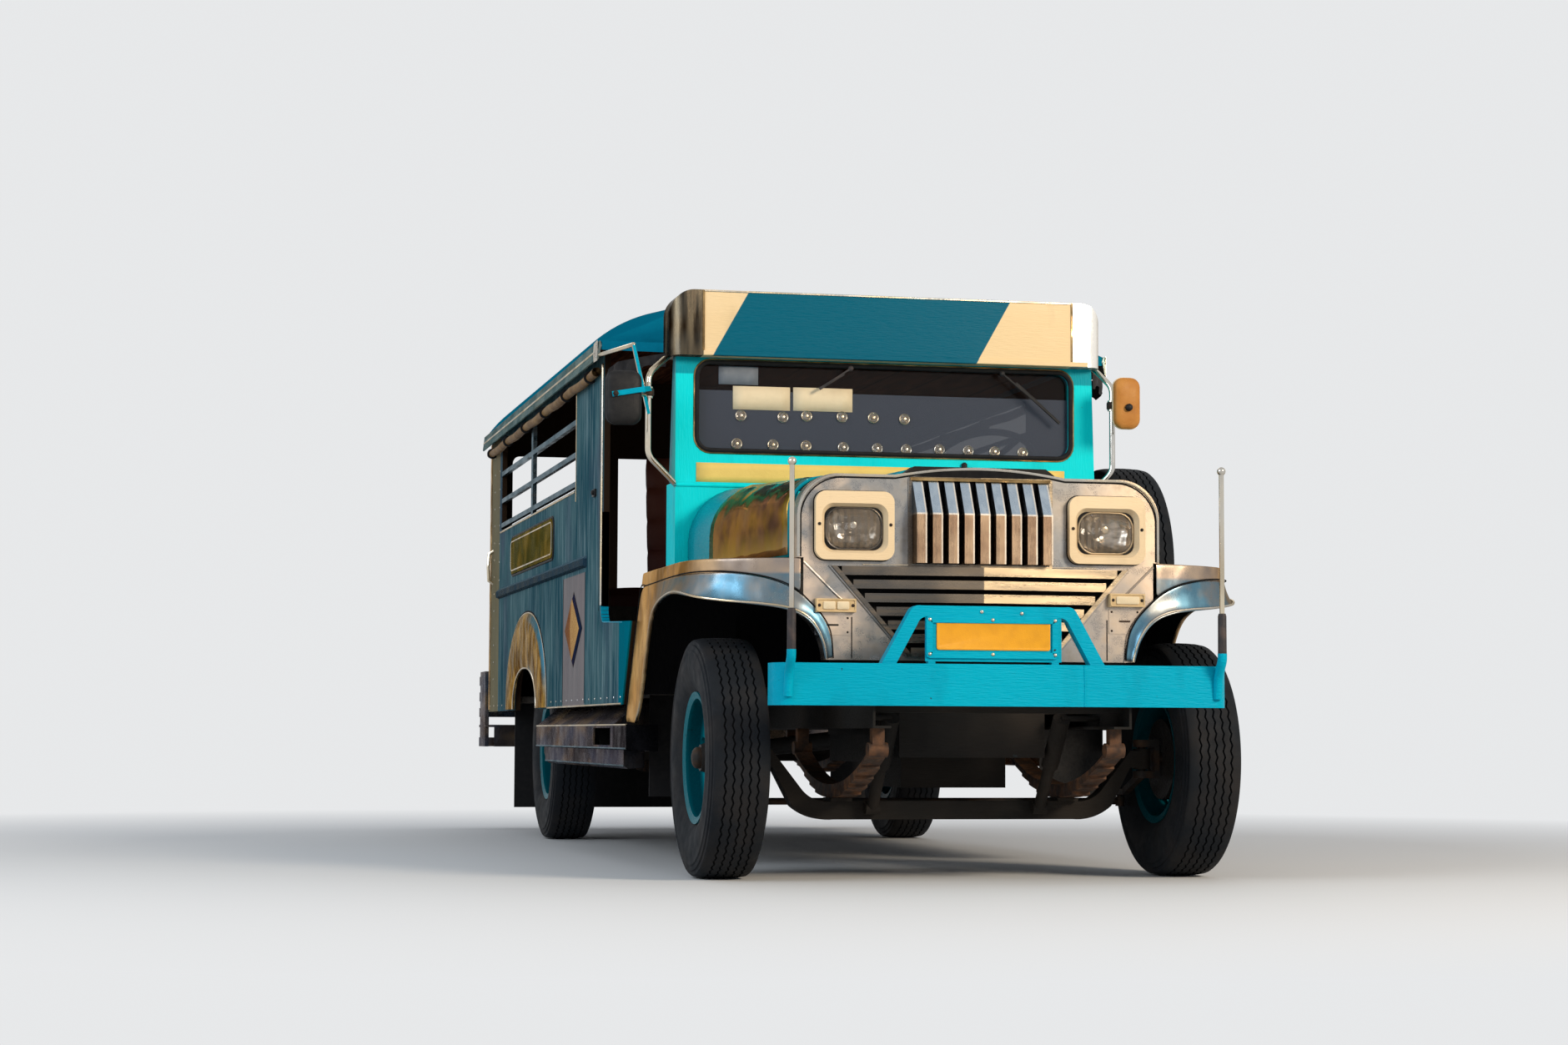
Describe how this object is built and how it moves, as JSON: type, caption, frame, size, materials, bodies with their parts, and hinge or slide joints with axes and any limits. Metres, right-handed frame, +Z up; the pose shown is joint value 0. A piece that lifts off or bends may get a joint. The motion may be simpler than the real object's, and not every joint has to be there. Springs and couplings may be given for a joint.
{
  "type": "jeepney",
  "caption": "Open-sided passenger jeepney with a stainless nose, sign box, side benches and rear entrance; its wheels roll, the front wheels steer and the bonnet opens.",
  "frame": {"origin": "on the ground under the middle of the vehicle's length, on its centre plane", "axes": "+X to the driver's side, which is the vehicle's left, +Y to the rear, +Z up"},
  "size_m": [2.1665, 6.214, 2.3],
  "materials": {
    "chassis_black": "satin, dusty",
    "engine_iron": "rough, oily",
    "turquoise_paint": "brushed-on gloss, chipped",
    "polished_steel": "polished, lightly scratched",
    "slat_steel": "brushed, bluish",
    "brushed_side_steel": "brushed, streaked",
    "cream_paint": "gloss, yellowed",
    "lamp_glass": "fluted, clear",
    "window_glass": "clear, dusty",
    "roof_teal": "gloss",
    "tyre_rubber": "matte, worn",
    "floor_plate": "matte, scuffed",
    "seat_vinyl": "satin vinyl",
    "dash_black": "matte",
    "curtain_cloth": "matte, creased"
  },
  "bodies": {
    "root": {"frame_rails": "chassis_black", "front_axle": "chassis_black", "leaf_springs": "chassis_black", "rear_axle": "chassis_black", "engine_block": "engine_iron", "drive_shaft": "chassis_black", "fuel_tank": "chassis_black", "exhaust": "chassis_black", "radiator": "chassis_black", "shock_absorbers": "chassis_black", "mud_flaps": "tyre_rubber", "front_bumper": "turquoise_paint", "plate_guard": "turquoise_paint", "guide_poles": "polished_steel", "grille_shell": "polished_steel", "grille_slats": "slat_steel", "lower_grille": "polished_steel", "headlamp_bezels": "cream_paint", "headlamps": "lamp_glass", "marker_lamps": "lamp_glass", "front_fenders": "polished_steel", "cowl": "turquoise_paint", "windscreen_frame": "turquoise_paint", "windscreen_glass": "window_glass", "header_box": "cream_paint", "header_caps": "polished_steel", "roof_shell": "roof_teal", "roof_eaves": "polished_steel", "side_panels": "brushed_side_steel", "arch_covers": "polished_steel", "window_rails": "polished_steel", "side_trim": "polished_steel", "side_steps": "polished_steel", "floor": "floor_plate", "bench_boxes": "floor_plate", "bench_cushions": "seat_vinyl", "front_seats": "seat_vinyl", "dashboard": "dash_black", "steering_column": "dash_black", "rear_wall": "turquoise_paint", "rear_step": "polished_steel", "spare_tyre": "tyre_rubber", "spare_rim": "turquoise_paint", "spare_bracket": "chassis_black", "mirrors": "polished_steel", "curtain_rolls": "curtain_cloth"},
    "hood": {"hood": "turquoise_paint", "hood_plates": "polished_steel"},
    "knuckle_left": {"knuckle_left": "chassis_black"},
    "knuckle_right": {"knuckle_right": "chassis_black"},
    "tie_rod": {"tie_rod": "chassis_black"},
    "steering_wheel": {"steering_wheel": "dash_black"},
    "wheel_front_left": {"tyre_front_left": "tyre_rubber", "rim_front_left": "turquoise_paint"},
    "wheel_front_right": {"tyre_front_right": "tyre_rubber", "rim_front_right": "turquoise_paint"},
    "wheel_rear_left": {"tyre_rear_left": "tyre_rubber", "rim_rear_left": "turquoise_paint"},
    "wheel_rear_right": {"tyre_rear_right": "tyre_rubber", "rim_rear_right": "turquoise_paint"}
  },
  "joints": [
    {"name": "hood_hinge", "type": "hinge", "parent": "root", "child": "hood", "pos_m": [0, -1.531, 1.385], "axis": [-1, 0, 0], "range_deg": [0, 50]},
    {"name": "steer_left", "type": "hinge", "parent": "root", "child": "knuckle_left", "pos_m": [0.68, -2.393, 0.4], "axis": [0, 0, 1], "range_deg": [-30, 30]},
    {"name": "steer_right", "type": "hinge", "parent": "root", "child": "knuckle_right", "pos_m": [-0.68, -2.393, 0.4], "axis": [0, 0, 1], "range_deg": [-30, 30]},
    {"name": "tie_rod_pivot", "type": "hinge", "parent": "knuckle_left", "child": "tie_rod", "pos_m": [0.68, -2.163, 0.25], "axis": [0, 0, 1], "range_deg": [-30, 30]},
    {"name": "steering_wheel_turn", "type": "hinge", "parent": "root", "child": "steering_wheel", "pos_m": [0.46, -1.188, 1.5], "axis": [0, 0.6157, 0.788], "range_deg": [-480, 480]},
    {"name": "spin_front_left", "type": "hinge", "parent": "knuckle_left", "child": "wheel_front_left", "pos_m": [0.804, -2.393, 0.4], "axis": [1, 0, 0], "continuous": true},
    {"name": "spin_front_right", "type": "hinge", "parent": "knuckle_right", "child": "wheel_front_right", "pos_m": [-0.804, -2.393, 0.4], "axis": [1, 0, 0], "continuous": true},
    {"name": "spin_rear_left", "type": "hinge", "parent": "root", "child": "wheel_rear_left", "pos_m": [0.794, 1.327, 0.4], "axis": [1, 0, 0], "continuous": true},
    {"name": "spin_rear_right", "type": "hinge", "parent": "root", "child": "wheel_rear_right", "pos_m": [-0.794, 1.327, 0.4], "axis": [1, 0, 0], "continuous": true}
  ],
  "couplings": [
    {"joint": "steer_right", "follows": "steer_left", "ratio": 1},
    {"joint": "tie_rod_pivot", "follows": "steer_left", "ratio": -1},
    {"joint": "steering_wheel_turn", "follows": "steer_left", "ratio": 16}
  ]
}
